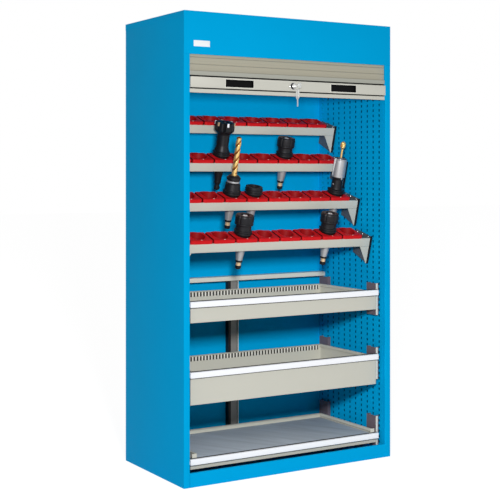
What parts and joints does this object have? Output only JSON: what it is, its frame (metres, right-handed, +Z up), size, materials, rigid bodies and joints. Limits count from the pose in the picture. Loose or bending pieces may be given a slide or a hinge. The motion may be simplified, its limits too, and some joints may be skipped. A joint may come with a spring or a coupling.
{
  "type": "roll front tool cabinet",
  "caption": "Tall steel cabinet with a roll-down slatted front, tilted shelves of round tool-taper sockets, drawers, a pull-out tray and perforated side walls.",
  "frame": {"origin": "centre of the carcass footprint, on the floor face of the base", "axes": "+X to the right seen from the front, -Y out of the front, +Z up"},
  "size_m": [1.06, 0.6205, 1.95],
  "materials": {
    "blue_paint": "satin powder coat",
    "slat_plastic": "satin",
    "bar_aluminium": "anodised satin",
    "handle_aluminium": "anodised satin",
    "black_plastic": "matt",
    "bright_steel": "ground",
    "nickel": "polished",
    "galvanised": "galvanised",
    "grey_paint": "satin powder coat",
    "red_plastic": "satin",
    "black_steel": "black oxide",
    "gold_carbide": "titanium nitride coating",
    "mat_rubber": "matt",
    "spring_steel": "oiled"
  },
  "bodies": {
    "carcass": {"right_side_panel": "blue_paint", "left_side_panel": "blue_paint", "right_perforated_wall": "blue_paint", "left_perforated_wall": "blue_paint", "right_curtain_channel": "blue_paint", "left_curtain_channel": "blue_paint", "top_cover": "blue_paint", "fascia": "blue_paint", "base_pan": "blue_paint", "back_panel": "blue_paint", "roll_cover": "blue_paint", "bolt_strikes": "galvanised", "rear_post": "galvanised", "rear_cross_bar": "grey_paint", "drum_brackets": "galvanised", "drum_axle": "bright_steel", "shelf_frame_1": "grey_paint", "shelf_frame_2": "grey_paint", "shelf_frame_3": "grey_paint", "shelf_frame_4": "grey_paint", "tool_holders_1": "red_plastic", "tool_holders_2": "red_plastic", "tool_holders_3": "red_plastic", "tool_holders_4": "red_plastic", "shelf_brackets": "galvanised", "cabinet_rails": "galvanised", "runner_brackets": "galvanised"},
    "drum": {"drum_tube": "galvanised", "torsion_spring": "spring_steel", "rolled_slats": "slat_plastic"},
    "curtain": {"hanging_slats": "slat_plastic", "end_bar": "bar_aluminium", "grip_cups": "black_plastic", "lock_housing": "nickel"},
    "lock_rotor": {"lock_plug": "nickel", "lock_key": "nickel"},
    "key_bunch": {"key_ring": "nickel", "spare_key": "nickel"},
    "right_bolt": {"right_lock_bolt": "bright_steel"},
    "left_bolt": {"left_lock_bolt": "bright_steel"},
    "face_mill_tool": {"face_mill": "black_steel"},
    "upper_collet_tool": {"upper_collet_chuck": "black_steel"},
    "drill_tool": {"drill_chuck": "black_steel", "twist_drill": "gold_carbide"},
    "adapter_tool": {"stub_adapter": "black_steel"},
    "end_mill_tool": {"end_mill_holder": "black_steel", "end_mill": "gold_carbide"},
    "left_collet_tool": {"left_collet_chuck": "black_steel"},
    "right_collet_tool": {"right_collet_chuck": "black_steel"},
    "upper_drawer_unit": {"upper_drawer": "grey_paint", "upper_drawer_handle": "handle_aluminium"},
    "lower_drawer_unit": {"lower_drawer": "grey_paint", "lower_drawer_handle": "handle_aluminium"},
    "tray_unit": {"pull_out_tray": "grey_paint", "pull_out_tray_handle": "handle_aluminium", "tray_mat": "mat_rubber"},
    "upper_middle_rails": {"upper_drawer_middle_rails": "galvanised"},
    "lower_middle_rails": {"lower_drawer_middle_rails": "galvanised"},
    "tray_middle_rails": {"pull_out_tray_middle_rails": "galvanised"}
  },
  "joints": [
    {"name": "curtain_slide", "type": "slide", "parent": "carcass", "child": "curtain", "axis": [0, 0, -1], "range_m": [0, 1.556]},
    {"name": "drum_turn", "type": "hinge", "parent": "carcass", "child": "drum", "pos_m": [0, -0.18315, 1.86115], "axis": [1, 0, 0], "range_deg": [-0.5, 1510.5]},
    {"name": "key_turn", "type": "hinge", "parent": "curtain", "child": "lock_rotor", "pos_m": [0, -0.294, 1.659], "axis": [0, 1, 0], "range_deg": [-0.5, 90.5]},
    {"name": "ring_hang", "type": "hinge", "parent": "lock_rotor", "child": "key_bunch", "pos_m": [0, -0.294, 1.659], "axis": [0, 1, 0], "range_deg": [-90.5, 0.5]},
    {"name": "right_bolt_slide", "type": "slide", "parent": "curtain", "child": "right_bolt", "axis": [1, 0, 0], "range_m": [0, 0.011]},
    {"name": "left_bolt_slide", "type": "slide", "parent": "curtain", "child": "left_bolt", "axis": [-1, 0, 0], "range_m": [-0.0001, 0.0111]},
    {"name": "face_mill_lift", "type": "slide", "parent": "carcass", "child": "face_mill_tool", "axis": [0, 0.2588, -0.9659], "range_m": [-0.16, 0]},
    {"name": "upper_collet_lift", "type": "slide", "parent": "carcass", "child": "upper_collet_tool", "axis": [0, 0.2588, -0.9659], "range_m": [-0.16, 0]},
    {"name": "drill_lift", "type": "slide", "parent": "carcass", "child": "drill_tool", "axis": [0, 0.2588, -0.9659], "range_m": [-0.16, 0]},
    {"name": "adapter_lift", "type": "slide", "parent": "carcass", "child": "adapter_tool", "axis": [0, 0.2588, -0.9659], "range_m": [-0.16, 0]},
    {"name": "end_mill_lift", "type": "slide", "parent": "carcass", "child": "end_mill_tool", "axis": [0, 0.2588, -0.9659], "range_m": [-0.16, 0]},
    {"name": "left_collet_lift", "type": "slide", "parent": "carcass", "child": "left_collet_tool", "axis": [0, 0.2588, -0.9659], "range_m": [-0.16, 0]},
    {"name": "right_collet_lift", "type": "slide", "parent": "carcass", "child": "right_collet_tool", "axis": [0, 0.2588, -0.9659], "range_m": [-0.16, 0]},
    {"name": "upper_drawer_slide", "type": "slide", "parent": "carcass", "child": "upper_drawer_unit", "axis": [0, 1, 0], "range_m": [-0.4, 0]},
    {"name": "upper_rail_slide", "type": "slide", "parent": "carcass", "child": "upper_middle_rails", "axis": [0, 1, 0], "range_m": [-0.201, 0.001]},
    {"name": "lower_drawer_slide", "type": "slide", "parent": "carcass", "child": "lower_drawer_unit", "axis": [0, 1, 0], "range_m": [-0.4, 0]},
    {"name": "lower_rail_slide", "type": "slide", "parent": "carcass", "child": "lower_middle_rails", "axis": [0, 1, 0], "range_m": [-0.201, 0.001]},
    {"name": "tray_slide", "type": "slide", "parent": "carcass", "child": "tray_unit", "axis": [0, 1, 0], "range_m": [-0.4, 0]},
    {"name": "tray_rail_slide", "type": "slide", "parent": "carcass", "child": "tray_middle_rails", "axis": [0, 1, 0], "range_m": [-0.201, 0.001]}
  ],
  "couplings": [
    {"joint": "drum_turn", "follows": "curtain_slide", "rad_per_m": 16.931},
    {"joint": "left_bolt_slide", "follows": "right_bolt_slide", "ratio": 1},
    {"joint": "key_turn", "follows": "right_bolt_slide", "rad_per_m": 142.8},
    {"joint": "ring_hang", "follows": "right_bolt_slide", "rad_per_m": -142.8},
    {"joint": "upper_rail_slide", "follows": "upper_drawer_slide", "ratio": 0.5},
    {"joint": "lower_rail_slide", "follows": "lower_drawer_slide", "ratio": 0.5},
    {"joint": "tray_rail_slide", "follows": "tray_slide", "ratio": 0.5}
  ]
}
